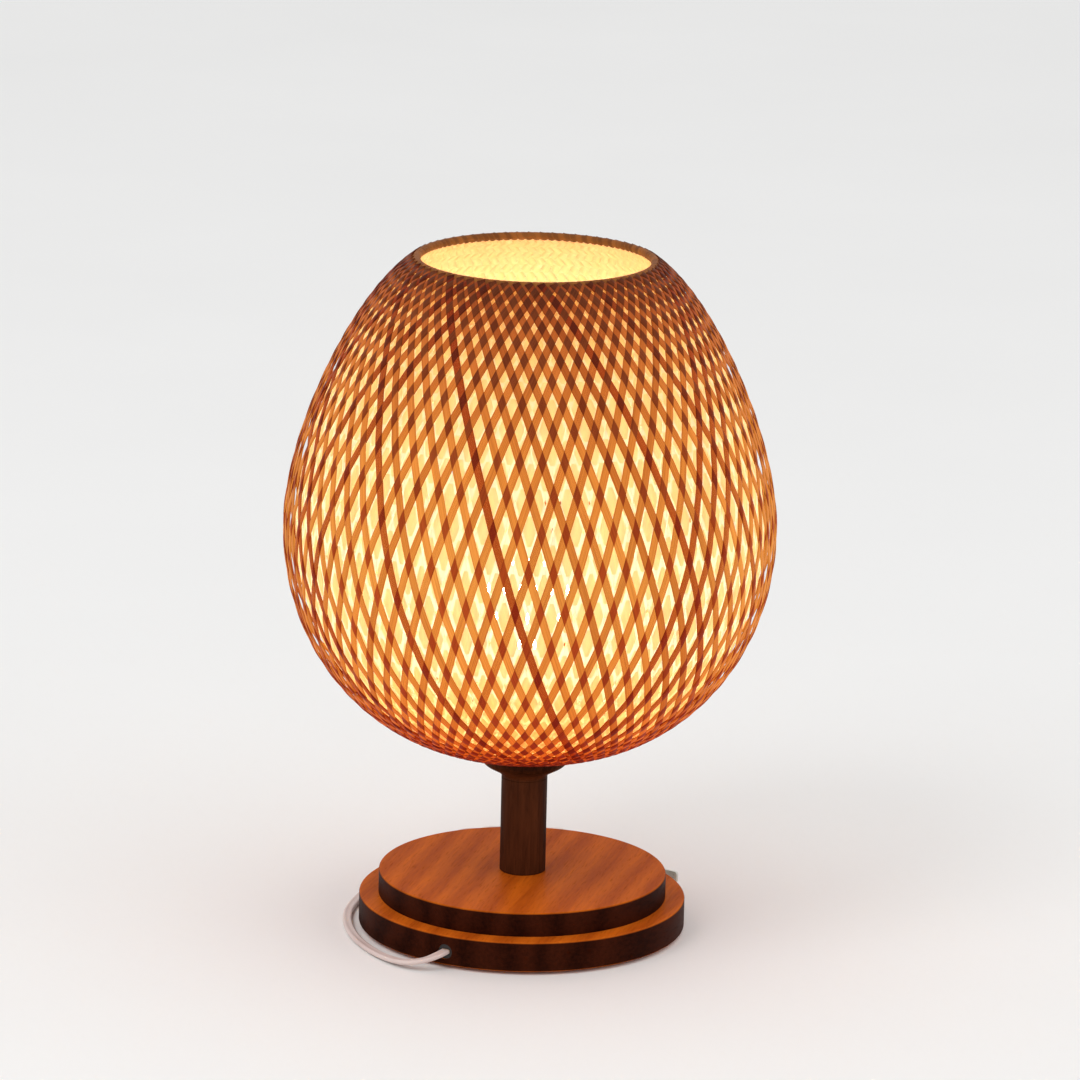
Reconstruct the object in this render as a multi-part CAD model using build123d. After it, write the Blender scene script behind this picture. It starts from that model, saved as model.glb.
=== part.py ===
from build123d import *
import os
from math import cos, pi, radians, sin, tan

# Table lamp: a woven bamboo balloon shade on a turned wooden stem and a stepped round base.
# Units are millimetres, +Z is up, and the origin is the centre of the base's underside.
# The lamp faces -Y, and its cord leaves the base at the front left.

# Clearances
seat_gap = 0.05        # between faces that are glued, screwed or clamped together
socket_gap = 0.10      # radial, round a tenon or a pushed-in piece
bore_gap = 0.30        # radial, round the threaded tube where it only passes through
running_gap = 0.08     # radial, round the rocker's pin
turning_gap = 0.35     # radial, between the bulb's cap and the holder's screw shell

# Base
pad_radius = 75.0
pad_height = 1.5
lower_radius = 83.5
lower_height = 15.5
upper_radius = 73.6
upper_height = 12.3
edge_radius = 1.0      # the softened edges of the turned wood
pocket_radius = 22.0   # the wiring pocket under the lower disc
pocket_depth = 12.0
base_screw_count = 3
base_screw_circle = 50.0
base_screw_radius = 2.0
base_screw_length = 22.0
screw_head_radius = 4.0
screw_head_height = 2.4

# Stem and collar
stem_radius = 11.75
stem_length = 49.9
tenon_radius = 8.0
tenon_length = 8.0
collar_height = 14.8
collar_flare_height = 5.8  # how high the collar's hollow flare ends
collar_flare_radius = 19.0
collar_top_radius = 22.5

# Threaded tube, its nut and its washers
tube_radius = 5.0
tube_bore_radius = 3.9
tube_tail = 0.8        # the tube stands this far out of its nut
tube_top_length = 4.6  # the length of tube inside the lamp holder
nut_across_flats = 14.0
nut_height = 3.0
washer_radius = 11.0
washer_height = 1.2

# Shade: heights are taken from the collar's top, where the shade stands
shade_radius = 125.0       # at the belly
shade_belly_height = 117.3
shade_height = 256.0       # from the collar's top to the crest of the rim
shade_seat_radius = 21.0   # the flat part round the collar
shade_foot_reach = 52.0    # how far the flat bottom runs on before it curves up
shade_belly_drop = 71.5    # how far the belly's upright part reaches down
shade_belly_rise = 44.0    # and up
shade_shoulder_reach = 36.0
shade_shoulder_angle = 34.0
shade_mouth_radius = 57.6  # the clear opening at the top
rim_roll_radius = 2.2
outer_weave_thickness = 1.4
inner_weave_thickness = 1.0
weave_spacing = 5.0        # the air between the two weaves at the belly
disc_radius = 20.0
disc_height = 3.0
clamp_washer_radius = 17.0

# Lamp holder, size E27
holder_radius = 19.0
holder_wall = 2.4
holder_cap_height = 14.0
holder_body_height = 30.0
holder_shoulder = 5.0
insert_height = 5.0
shell_wall = 0.4
shell_height = 22.0
tongue_width = 6.0
tongue_thickness = 0.6
terminal_size = 4.5
terminal_reach = 9.5

# Bulb, a small opal globe with an E27 cap
cap_radius = 12.9
cap_groove = 0.7
cap_turns = 5
cap_pitch = 3.62
cap_wall = 0.35
contact_radius = 4.8
contact_height = 1.2
insulator_height = 3.6
globe_radius = 22.5
globe_wall = 0.8
globe_neck_radius = 12.0
globe_centre_height = 53.0  # above the tip of the contact
filament_count = 4
filament_radius = 0.9
filament_length = 22.0
filament_circle = 5.5

# Flat twin flex
flex_width = 5.0
flex_height = 2.5
exit_angle = 243.0     # the way out of the base, from +X
layout_radius = 83.5   # the base radius the flex's route is laid out round
exit_height = 8.5
bore_radius = 3.9
bush_length = 9.0
bush_recess = 0.6
flex_bend_radius = 8.0
strain_tie_width = 2.2
strain_tie_wall = 1.3

# Switch on the flex
switch_x = 0.0
switch_y = lower_radius + 41.0
switch_length = 46.0
switch_width = 17.0
switch_height = 11.0
switch_wall = 1.5
switch_split = 5.5     # the height where the two halves of the case meet
switch_entry_height = 5.0
rocker_length = 14.0
rocker_width = 9.0
rocker_gap = 0.35
rocker_stand = 1.6
rocker_tilt = 7.0
pin_radius = 0.9
switch_screw_radius = 1.1

# Hank of put-away flex, and its tie
hank_x = -14.0
hank_y = lower_radius + 16.5
hank_length = 80.0
hank_width = 28.0
hank_bottom = 1.2
hank_height = 14.8
tie_width = 9.0
tie_thickness = 0.8

# Plug
plug_angle = 54.0      # its place round the base, from +X
plug_circle = lower_radius + 11.0
plug_length = 22.0
plug_width = 18.0
plug_height = 11.0
plug_nose = 5.0
blade_length = 16.0
blade_width = 6.3
blade_thickness = 1.5
blade_spacing = 12.7
blade_root = 5.0       # the length of blade moulded into the body

# Heights that follow
lower_z = pad_height
upper_z = lower_z + lower_height
stem_z = upper_z + upper_height
collar_z = stem_z + stem_length
shade_z = collar_z + collar_height
pocket_z = lower_z + pocket_depth
disc_z = shade_z + outer_weave_thickness + 2 * seat_gap
inner_z = disc_z + disc_height + seat_gap
clamp_z = inner_z + inner_weave_thickness + seat_gap
holder_z = clamp_z + washer_height + seat_gap
insert_z = holder_z + holder_cap_height - insert_height
contact_z = insert_z + insert_height + tongue_thickness + 1.8
cap_z = contact_z + contact_height + insulator_height
cap_length = cap_turns * cap_pitch + 4.0
globe_z = contact_z + globe_centre_height
tube_radius_clear = tube_radius + bore_gap
tube_low = pocket_z - washer_height - nut_height - tube_tail - 2 * seat_gap
terminal_z = insert_z - seat_gap - terminal_size / 2
flex_floor = flex_height / 2 + 0.55  # high enough for the flex to roll a little

os.makedirs("parts", exist_ok=True)


def save(name, shape):
    export_step(shape, f"parts/{name}.step")


def polar(radius, angle, z=0.0):
    return Vector(radius * cos(radians(angle)), radius * sin(radians(angle)), z)


def disc(radius, z0, z1, at=(0, 0)):
    return Pos(at[0], at[1], (z0 + z1) / 2) * Cylinder(radius, z1 - z0)


def ring(outer, inner, z0, z1, at=(0, 0)):
    return disc(outer, z0, z1, at) - disc(inner, z0 - 1, z1 + 1, at)


def turned(outline):
    """A solid turned about Z from a closed outline of (radius, z) points and curves."""
    return revolve(make_face(outline), Axis.Z)


def soften(shape, radius, *heights):
    """Round the circular edges that lie at the given heights."""
    edges = [e for e in shape.edges() for z in heights
             if abs(e.bounding_box().min.Z - z) < 1e-4 and abs(e.bounding_box().max.Z - z) < 1e-4]
    return fillet(edges, radius)


# ---------------------------------------------------------------- base

def base_screw_places():
    return [polar(base_screw_circle, 90 + 360 * i / base_screw_count) for i in range(base_screw_count)]


def base_pad():
    return disc(pad_radius, 0, pad_height - seat_gap)


def exit_bore(radius, near, far):
    """A round bar along the cord's way out, between two distances from the axis."""
    start = Plane(origin=polar(near, exit_angle, exit_height), z_dir=polar(1, exit_angle))
    return start * Cylinder(radius, far - near, align=(Align.CENTER, Align.CENTER, Align.MIN))


def base_lower_disc():
    body = disc(lower_radius, lower_z, upper_z - seat_gap)
    body = soften(body, edge_radius, lower_z, upper_z - seat_gap)
    body -= disc(pocket_radius, lower_z - 1, pocket_z)
    body -= disc(tube_radius_clear, 0, upper_z + 1)
    body -= exit_bore(bore_radius, pocket_radius - 4, lower_radius + 5)
    for place in base_screw_places():
        body -= disc(base_screw_radius + seat_gap, 0, upper_z + 1, (place.X, place.Y))
        head_top = lower_z + screw_head_height + 2 * seat_gap
        body -= disc(screw_head_radius + seat_gap, 0, head_top, (place.X, place.Y))
    return body


def base_upper_disc():
    body = disc(upper_radius, upper_z, stem_z - seat_gap)
    body = soften(body, edge_radius, stem_z - seat_gap)
    body -= disc(tube_radius_clear, upper_z - 1, stem_z + 1)
    body -= disc(tenon_radius + socket_gap, stem_z - tenon_length - socket_gap, stem_z + 1)
    for place in base_screw_places():
        top = lower_z + base_screw_length + 2 * seat_gap
        body -= disc(base_screw_radius + seat_gap, upper_z - 1, top, (place.X, place.Y))
    return body


def base_screws():
    screws = []
    for place in base_screw_places():
        at = (place.X, place.Y)
        bottom = lower_z + seat_gap
        head = disc(screw_head_radius, bottom, bottom + screw_head_height, at)
        shank = disc(base_screw_radius, bottom, lower_z + base_screw_length, at)
        cross = Pos(place.X, place.Y, bottom) * (Box(4.4, 0.9, 2.0) + Box(0.9, 4.4, 2.0))
        screws.append(head + shank - cross)
    return Compound(children=screws)


# ---------------------------------------------------------------- stem, collar and tube

def stem():
    body = disc(stem_radius, stem_z, collar_z - seat_gap)
    body = soften(body, edge_radius / 2, stem_z, collar_z - seat_gap)
    body += disc(tenon_radius, stem_z - tenon_length, stem_z + 1)
    return body - disc(tube_radius_clear, 0, collar_z + 1)


def collar():
    """A turned cup: a hollow flare from the stem's width, then a full lip under the shade."""
    flare_z = collar_z + collar_flare_height
    top = shade_z - seat_gap
    flare = Bezier((stem_radius, collar_z + 0.6), (stem_radius + 0.4, collar_z + 2.4),
                   (collar_flare_radius - 4.0, flare_z - 2.2), (collar_flare_radius, flare_z))
    lip = Bezier((collar_flare_radius, flare_z), (collar_flare_radius + 2.4, flare_z + 1.4),
                 (collar_top_radius, flare_z + 3.0), (collar_top_radius, flare_z + 5.5))
    outline = Curve() + [
        Line((tube_radius_clear, collar_z), (stem_radius, collar_z)),
        Line((stem_radius, collar_z), flare @ 0), flare, lip,
        Line(lip @ 1, (collar_top_radius, top)),
        Line((collar_top_radius, top), (tube_radius_clear, top)),
        Line((tube_radius_clear, top), (tube_radius_clear, collar_z))]
    return turned(Plane.XZ * outline)


def threaded_tube():
    return ring(tube_radius, tube_bore_radius, tube_low, holder_z + tube_top_length)


def tube_washer():
    top = pocket_z - seat_gap
    return ring(washer_radius, tube_radius + seat_gap, top - washer_height, top)


def tube_nut():
    top = pocket_z - washer_height - 2 * seat_gap
    body = extrude(RegularPolygon(nut_across_flats / 2, 6, major_radius=False), nut_height)
    return Pos(0, 0, top - nut_height) * body - disc(tube_radius + seat_gap, 0, pocket_z)


# ---------------------------------------------------------------- shade

def weave_curve(inset, foot_z):
    """The side of the shade from its foot to its shoulder, moved inwards by inset."""
    belly_z = shade_z + shade_belly_height
    belly = shade_radius - inset
    top_z = shade_z + shade_height - rim_roll_radius * 0.3 - inset * 0.45
    top = shade_mouth_radius + 2 * rim_roll_radius - inset * 0.5
    lean = radians(shade_shoulder_angle)
    reach = shade_shoulder_reach
    lower = Bezier((shade_seat_radius, foot_z), (shade_seat_radius + shade_foot_reach - inset / 2, foot_z),
                   (belly, belly_z - shade_belly_drop + inset / 2), (belly, belly_z))
    upper = Bezier((belly, belly_z), (belly, belly_z + shade_belly_rise),
                   (top + reach * cos(lean), top_z - reach * sin(lean)), (top, top_z))
    return lower, upper


def weave_shell(inset, thickness, foot_z, hole_radius):
    out_low, out_high = weave_curve(inset, foot_z)
    in_low, in_high = weave_curve(inset + thickness, foot_z + thickness)
    outline = Curve() + [
        Line((hole_radius, foot_z), out_low @ 0), out_low, out_high,
        Line(out_high @ 1, in_high @ 1), in_high, in_low,
        Line(in_low @ 0, (hole_radius, foot_z + thickness)),
        Line((hole_radius, foot_z + thickness), (hole_radius, foot_z))]
    return turned(Plane.XZ * outline)


def shade_outer_weave():
    return weave_shell(0, outer_weave_thickness, shade_z, tube_radius_clear) - rim_space()


def shade_inner_weave():
    inset = outer_weave_thickness + weave_spacing
    return weave_shell(inset, inner_weave_thickness, inner_z, tube_radius_clear) - rim_space()


def rim_roll(radius):
    centre = shade_mouth_radius + rim_roll_radius
    return Pos(0, 0, shade_z + shade_height - rim_roll_radius) * Torus(centre, radius)


def rim_space():
    return rim_roll(rim_roll_radius + seat_gap)


def shade_rim():
    return rim_roll(rim_roll_radius)


def shade_disc():
    return ring(disc_radius, tube_radius_clear, disc_z, disc_z + disc_height)


def shade_clamp_washer():
    return ring(clamp_washer_radius, tube_radius_clear, clamp_z, clamp_z + washer_height)


# ---------------------------------------------------------------- lamp holder

def holder_cap():
    top = holder_z + holder_cap_height
    body = disc(holder_radius, holder_z, top - seat_gap)
    body = soften(body, holder_shoulder, holder_z)
    cavity_floor = holder_z + holder_wall + 1.6
    body -= disc(holder_radius - holder_wall, cavity_floor, top + 1)
    return body - disc(tube_radius + seat_gap, holder_z - 1, top)


def holder_body():
    z0 = holder_z + holder_cap_height
    z1 = z0 + holder_body_height
    body = disc(holder_radius, z0, z1)
    body = soften(body, 1.2, z1)
    body -= disc(holder_bore(), z0 - 1, z1 + 1)
    for i in range(3):
        groove_z = z1 - 5 - 3 * i
        body -= ring(holder_radius + 1, holder_radius - 0.5, groove_z, groove_z + 1)
    return body


def holder_shell_radius():
    return cap_radius + turning_gap + shell_wall


def holder_bore():
    return holder_shell_radius() + seat_gap


def insert_radius():
    return holder_radius - holder_wall - seat_gap


def holder_insert():
    body = disc(insert_radius(), insert_z, insert_z + insert_height - seat_gap)
    body -= disc(2.0, insert_z - 1, insert_z + insert_height + 1, (0, 6.5))
    body -= disc(2.0, insert_z - 1, insert_z + insert_height + 1, (0, -6.5))
    return body


def holder_screw_shell():
    z0 = insert_z + insert_height
    shell = ring(holder_shell_radius(), cap_radius + turning_gap, z0, z0 + shell_height)
    return shell + ring(holder_shell_radius(), contact_radius + 2.5, z0, z0 + shell_wall)


def holder_centre_tongue():
    z0 = insert_z + insert_height
    foot = Pos(-1.4, 0, z0 + tongue_thickness / 2) * Box(5.6, tongue_width, tongue_thickness)
    riser = Pos(-4.0, 0, z0 + 1.15) * Box(tongue_thickness, tongue_width, 2.3)
    leaf_z = contact_z - seat_gap - tongue_thickness / 2
    leaf = Pos(-0.3, 0, leaf_z) * Box(8.0, tongue_width, tongue_thickness)
    return foot + riser + leaf


def holder_terminals():
    blocks = []
    for side in (-1, 1):
        x = side * terminal_reach
        block = Pos(x, 0, terminal_z) * Box(terminal_size, 2 * terminal_size, terminal_size)
        block -= Pos(x, 0, terminal_z) * Rot(90, 0, 0) * Cylinder(1.0, 4 * terminal_size)
        blocks.append(block)
    return Compound(children=blocks)


# ---------------------------------------------------------------- bulb

def bulb_cap():
    outline = [(cap_radius - cap_groove, cap_z)]
    for i in range(cap_turns):
        z = cap_z + 1.0 + i * cap_pitch
        outline += [(cap_radius - cap_groove, z), (cap_radius, z + cap_pitch * 0.35),
                    (cap_radius, z + cap_pitch * 0.65)]
    top = cap_z + cap_length
    outline += [(cap_radius - cap_groove, top - 3.0), (cap_radius - cap_groove, top)]
    inside = cap_radius - cap_groove - cap_wall
    outline += [(inside, top), (inside, cap_z), outline[0]]
    return turned(Plane.XZ * Polyline(*outline))


def bulb_insulator():
    z0 = contact_z + contact_height
    top_radius = cap_radius - cap_groove - cap_wall
    top = cap_z - seat_gap
    outline = Polyline((0, z0), (contact_radius + 1.0, z0), (top_radius, top), (0, top), (0, z0))
    return turned(Plane.XZ * outline)


def bulb_contact():
    body = disc(contact_radius, contact_z, contact_z + contact_height - seat_gap)
    return soften(body, 0.8, contact_z)


def globe_outline(wall):
    radius = globe_radius - wall
    neck = globe_neck_radius - cap_wall - seat_gap - wall
    meet = radians(38)
    meet_r = radius * sin(meet)
    meet_z = globe_z - radius * cos(meet)
    bottom = cap_z + cap_length - 6.0
    side = Line((0, bottom), (neck, bottom)) + Line((neck, bottom), (neck, cap_z + cap_length))
    side += Bezier((neck, cap_z + cap_length), (neck, cap_z + cap_length + 4.0),
                   (meet_r - 3.0, meet_z - 3.0 * tan(meet)), (meet_r, meet_z))
    side += ThreePointArc((meet_r, meet_z), (radius, globe_z), (0, globe_z + radius))
    side += Line((0, globe_z + radius), (0, bottom))
    return side


def bulb_globe():
    outer = turned(Plane.XZ * globe_outline(0))
    inner = turned(Plane.XZ * globe_outline(globe_wall))
    opening = disc(globe_neck_radius - cap_wall - seat_gap - globe_wall, cap_z, cap_z + cap_length - 5.0)
    return outer - inner - opening


def bulb_mount():
    """The glass stem inside the globe that carries the filaments."""
    z0 = cap_z + cap_length - 5.0
    foot = disc(globe_neck_radius - cap_wall - globe_wall - 1.0, z0, z0 + 1.5)
    return foot + disc(2.2, z0, globe_z - filament_length / 2 + 1.0)


def bulb_filaments():
    pieces = []
    for i in range(filament_count):
        place = polar(filament_circle, 45 + 360 * i / filament_count, globe_z + 1.5)
        pieces.append(Pos(place) * Cylinder(filament_radius, filament_length))
    return Compound(children=pieces)


# ---------------------------------------------------------------- flex

def bend_radii(points):
    """A radius for each corner: 0.45 of its shorter run, over the tangent of half its turn."""
    radii = []
    for before, corner, after in zip(points, points[1:], points[2:]):
        turn = (corner - before).get_angle(after - corner)
        run = min((corner - before).length, (after - corner).length)
        radii.append(0.45 * run / tan(radians(turn / 2)))
    return radii


def flex(name, points):
    """Flat flex along a route, starting with its flat side level."""
    points = [Vector(p) for p in points]
    radii = bend_radii(points)
    path = FilletPolyline(*points, radius=radii)
    start = Plane(origin=path @ 0, x_dir=(path % 0).cross(Vector(0, 0, 1)), z_dir=path % 0)
    body = sweep(start * SlotOverall(flex_width, flex_height), path)
    area = flex_height * (flex_width - flex_height) + pi * (flex_height / 2) ** 2
    print(name, "length", round(path.length, 1), "volume share", round(body.volume / area / path.length, 3),
          "radii", [round(r, 1) for r in radii])
    return body


bush_face = lower_radius - bush_recess   # how far from the axis the outer face of the bush is
across = polar(1, exit_angle + 90)       # level, square to the cord's way out


def flex_slot(radius, gap):
    """The flex's own section with a gap round it, square to the way out at this radius."""
    plane = Plane(origin=polar(radius, exit_angle, exit_height), x_dir=across, z_dir=polar(1, exit_angle))
    return plane * SlotOverall(flex_width + 2 * gap, flex_height + 2 * gap)


def cord_bush():
    body = exit_bore(bore_radius - socket_gap, bush_face - bush_length, bush_face)
    return body - extrude(flex_slot(bush_face - bush_length - 1, socket_gap), bush_length + 2)


def inner_flex_route():
    """From the bush through the wiring pocket, then up inside the threaded tube to the holder."""
    low = tube_low - flex_height - 1.8
    top = holder_z + tube_top_length - 1
    return [polar(bush_face - seat_gap, exit_angle, exit_height),
            polar(pocket_radius - 1, exit_angle, exit_height),
            polar(pocket_radius / 2, exit_angle, low),
            polar(0, exit_angle, low),
            Vector(0, 0, top)]


def inner_flex():
    path = FilletPolyline(*inner_flex_route(), radius=[18.0, 12.0, flex_bend_radius])
    plane = Plane(origin=path @ 0, x_dir=across, z_dir=path % 0)
    return sweep(plane * SlotOverall(flex_width, flex_height), path)


def strain_tie():
    """Pulled tight round the flex behind its bore, so that a pull can't reach the holder."""
    _, high, low, _, _ = inner_flex_route()
    plane = Plane(origin=high + (low - high) * 0.58, x_dir=across, z_dir=low - high)
    outside = RectangleRounded(flex_width + 2 * strain_tie_wall, flex_height + 2 * strain_tie_wall, 1.0)
    inside = SlotOverall(flex_width + 2 * seat_gap, flex_height + 2 * seat_gap)
    return extrude(plane * (outside - inside), strain_tie_width / 2, both=True)


def holder_wires():
    """The two cores of the flex, from its end to the terminals."""
    wires = []
    z0 = holder_z + tube_top_length - 1 + seat_gap
    for side in (-1, 1):
        start = across * (side * flex_height / 2) + Vector(0, 0, z0)
        block = Vector(side * (terminal_reach - terminal_size / 2 - seat_gap), 0, terminal_z)
        middle = Vector(start.X, start.Y, terminal_z - 0.4)
        path = FilletPolyline(start, middle, block, radius=1.2)
        wires.append(sweep(Plane(origin=path @ 0, z_dir=path % 0) * Circle(0.7), path))
    return Compound(children=wires)


def beside_base(x, y, z=flex_floor):
    """A point beside the base, at the same distance from its edge whatever the base's radius."""
    place = Vector(x, y, 0)
    return place + place.normalized() * (lower_radius - layout_radius) + Vector(0, 0, z)


# The routes of the free flex: points chosen by hand, each lying as a limp flat flex does
route_to_switch = [polar(bush_face, exit_angle, exit_height),
                   polar(lower_radius + 6.5, exit_angle, exit_height),
                   beside_base(-50.0, -81.0, 5.0), beside_base(-62.0, -73.5, 2.2),
                   beside_base(-76.0, -53.5), beside_base(-87.0, -26.0), beside_base(-90.5, 7.0),
                   beside_base(-83.5, 38.5), beside_base(-71.0, 68.5), beside_base(-64.5, 95.0),
                   (-53.0, switch_y - 9.0, flex_floor), (-38.0, switch_y - 1.0, 2.6),
                   (switch_x - switch_length / 2 + 1, switch_y, switch_entry_height)]
route_to_hank = [(switch_x + switch_length / 2 - 1, switch_y, switch_entry_height),
                 (36.0, switch_y - 0.1, 3.0), (45.4, switch_y - 9.4, flex_floor),
                 (45.2, hank_y + 1.9, flex_floor), (36.0, hank_y - 7.4, flex_floor),
                 (22.5, hank_y - 7.6, flex_floor)]
plug_back = polar(plug_circle, plug_angle) - polar(plug_length / 2 + plug_nose - 1, plug_angle - 90)
route_to_plug = [(20.0, hank_y + 9.5, 13.5), (28.0, hank_y - 0.2, 12.2),
                 plug_back + Vector(-7.2, 6.3, plug_height / 2 + 2.3),
                 plug_back + Vector(0, 0, plug_height / 2)]


# ---------------------------------------------------------------- switch on the flex

def switch_block(inset, z0, z1):
    size_x, size_y = switch_length - 2 * inset, switch_width - 2 * inset
    corner = 5.0 - inset
    return Pos(switch_x, switch_y, z0) * extrude(RectangleRounded(size_x, size_y, corner), z1 - z0)


def switch_space():
    return switch_block(-seat_gap, 0, switch_height + 1)


def rocker_pin_z():
    return switch_height - 2.8


def switch_screw_places():
    reach_x = switch_length / 2 - 6.5
    reach_y = switch_width / 2 - switch_wall - 2.3
    return [(switch_x + side * reach_x, switch_y + side * reach_y) for side in (-1, 1)]


def switch_lower_case():
    bottom = 0.1
    body = soften(switch_block(0, bottom, switch_split - seat_gap), 1.2, bottom)
    body -= switch_block(switch_wall, bottom + switch_wall, switch_split + 1)
    for x, y in switch_screw_places():
        body += disc(2.2, bottom + switch_wall, switch_split - seat_gap, (x, y))
        body -= disc(switch_screw_radius + seat_gap, bottom - 1, switch_split + 1, (x, y))
        body -= disc(switch_screw_radius + 0.9, bottom - 1, bottom + 1.2, (x, y))
    return body


def switch_upper_case():
    body = soften(switch_block(0, switch_split, switch_height), 1.6, switch_height)
    body -= switch_block(switch_wall, switch_split - 1, switch_height - switch_wall)
    for x, y in switch_screw_places():
        body += disc(2.2, switch_split, switch_height - switch_wall, (x, y))
        hole_top = switch_height - switch_wall - 1
        body -= disc(switch_screw_radius + seat_gap, switch_split - 1, hole_top, (x, y))
    boss_depth = switch_width / 2 - switch_wall - rocker_width / 2 - rocker_gap
    for side in (-1, 1):
        y = switch_y + side * (rocker_width / 2 + rocker_gap + boss_depth / 2)
        low = rocker_pin_z() - 2.0
        high = switch_height - switch_wall
        body += Pos(switch_x, y, (low + high) / 2) * Box(5.0, boss_depth, high - low)
    body -= Pos(switch_x, switch_y, switch_height) * Box(
        rocker_length + 4 * rocker_gap, rocker_width + 2 * rocker_gap, 2 * switch_height)
    return body - rocker_pin_bar(pin_radius + seat_gap, rocker_pin_length())


def rocker_pin_length():
    return switch_width - 2 * switch_wall - 1.0


def rocker_pin_bar(radius, length):
    return Pos(switch_x, switch_y, rocker_pin_z()) * Rot(90, 0, 0) * Cylinder(radius, length)


def switch_pin():
    return rocker_pin_bar(pin_radius, rocker_pin_length())


def switch_rocker():
    """A rocker with a shallow dip between its two pads, tilted to on."""
    half = rocker_length / 2
    top = switch_height - rocker_pin_z() + rocker_stand
    foot = -2.4
    profile = Polyline((-half, foot), (half, foot), (half, top), (0, top - 0.9), (-half, top), (-half, foot))
    body = extrude(Plane.XZ * make_face(profile), rocker_width / 2, both=True)
    long_edges = body.edges().filter_by(Axis.Y).group_by(Axis.Z)[-1]
    body = fillet(long_edges, 0.6)
    body = Pos(switch_x, switch_y, rocker_pin_z()) * Rot(0, -rocker_tilt, 0) * body
    return body - rocker_pin_bar(pin_radius + running_gap, switch_width)


def switch_contacts():
    strips = []
    for side in (-1, 1):
        z = 0.1 + switch_wall + seat_gap
        strip = Pos(switch_x + side * 9.0, switch_y, z + 0.2) * Box(11.0, 4.0, 0.4)
        nib = Pos(switch_x + side * 5.0, switch_y, z + 0.4) * Cylinder(1.2, 0.8)
        strips.append(strip + nib)
    return Compound(children=strips)


def switch_screws():
    screws = []
    for x, y in switch_screw_places():
        head = disc(switch_screw_radius + 0.8, 0.15, 1.2, (x, y))
        shank = disc(switch_screw_radius, 0.15, switch_height - switch_wall - 1.5, (x, y))
        slot = Pos(x, y, 0.3) * Box(3.0, 0.5, 0.9)
        screws.append(head + shank - slot)
    return Compound(children=screws)


# ---------------------------------------------------------------- hank and plug

def cord_hank():
    profile = Pos(hank_x, hank_y, hank_bottom) * SlotOverall(hank_length, hank_width)
    body = extrude(profile, hank_height)
    return soften(body, flex_height / 2, hank_bottom, hank_bottom + hank_height)


def hank_tie():
    z = hank_bottom + hank_height / 2
    wide = hank_width + 2 * seat_gap
    high = hank_height + 2 * seat_gap
    corner = flex_height / 2
    inside = RectangleRounded(wide, high, corner)
    outside = RectangleRounded(wide + 2 * tie_thickness, high + 2 * tie_thickness, corner + tie_thickness)
    plane = Plane(origin=(hank_x - tie_width / 2, hank_y, z), x_dir=(0, 1, 0), z_dir=(1, 0, 0))
    return extrude(plane * (outside - inside), tie_width)


def plug_frame():
    """The plug's own frame: its blades point along its X."""
    return Location(polar(plug_circle, plug_angle), (0, 0, plug_angle - 90))


def plug_body():
    bottom = 0.1
    block = extrude(RectangleRounded(plug_length, plug_width, 3.0), plug_height - bottom)
    block = Pos(0, 0, bottom) * block
    block = soften(block, 1.5, bottom, plug_height)
    middle = plug_height / 2
    back = Plane(origin=(-plug_length / 2 + 1, 0, middle), x_dir=(0, 1, 0), z_dir=(-1, 0, 0))
    tip = back.offset(plug_nose + 1)
    nose = loft([back * RectangleRounded(plug_width * 0.62, plug_height * 0.72, 2.5),
                 tip * RectangleRounded(flex_width + 2.4, flex_height + 2.4, 1.6)])
    body = block + nose
    for place in blade_places():
        body -= place * Box(2 * blade_root, blade_thickness + 2 * seat_gap, blade_width + 2 * seat_gap)
    return plug_frame() * body


def plug_space():
    nose_end = plug_length / 2 + plug_nose + seat_gap
    return plug_frame() * Pos(0, 0, plug_height / 2) * Box(2 * nose_end, plug_width, plug_height)


def blade_places():
    return [Pos(plug_length / 2, side * blade_spacing / 2, plug_height / 2) for side in (-1, 1)]


def plug_blades():
    length = blade_root + blade_length
    blades = []
    for place in blade_places():
        blade = Box(length - seat_gap, blade_thickness, blade_width)
        blade = Pos(blade_length / 2 - blade_root / 2, 0, 0) * blade
        blade = fillet(blade.edges().filter_by(Axis.Y).group_by(Axis.X)[-1], blade_width / 4)
        blades.append(plug_frame() * place * blade)
    return Compound(children=blades)


save("base_pad", base_pad())
save("base_lower_disc", base_lower_disc())
save("base_upper_disc", base_upper_disc())
save("base_screws", base_screws())
save("stem", stem())
save("collar", collar())
save("threaded_tube", threaded_tube())
save("tube_washer", tube_washer())
save("tube_nut", tube_nut())
save("shade_outer_weave", shade_outer_weave())
save("shade_inner_weave", shade_inner_weave())
save("shade_rim", shade_rim())
save("shade_disc", shade_disc())
save("shade_clamp_washer", shade_clamp_washer())
save("holder_cap", holder_cap())
save("holder_body", holder_body())
save("holder_insert", holder_insert())
save("holder_screw_shell", holder_screw_shell())
save("holder_centre_tongue", holder_centre_tongue())
save("holder_terminals", holder_terminals())
save("holder_wires", holder_wires())
save("bulb_cap", bulb_cap())
save("bulb_insulator", bulb_insulator())
save("bulb_contact", bulb_contact())
save("bulb_globe", bulb_globe())
save("bulb_mount", bulb_mount())
save("bulb_filaments", bulb_filaments())
save("cord_bush", cord_bush())
save("inner_flex", inner_flex())
save("strain_tie", strain_tie())
save("cord_to_switch", flex("cord_to_switch", route_to_switch) - switch_space())
save("cord_to_hank", flex("cord_to_hank", route_to_hank) - switch_space())
save("cord_to_plug", flex("cord_to_plug", route_to_plug) - plug_space())
save("cord_hank", cord_hank())
save("hank_tie", hank_tie())
save("switch_lower_case", switch_lower_case())
save("switch_upper_case", switch_upper_case())
save("switch_rocker", switch_rocker())
save("switch_pin", switch_pin())
save("switch_contacts", switch_contacts())
save("switch_screws", switch_screws())
save("plug_body", plug_body())
save("plug_blades", plug_blades())
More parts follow.
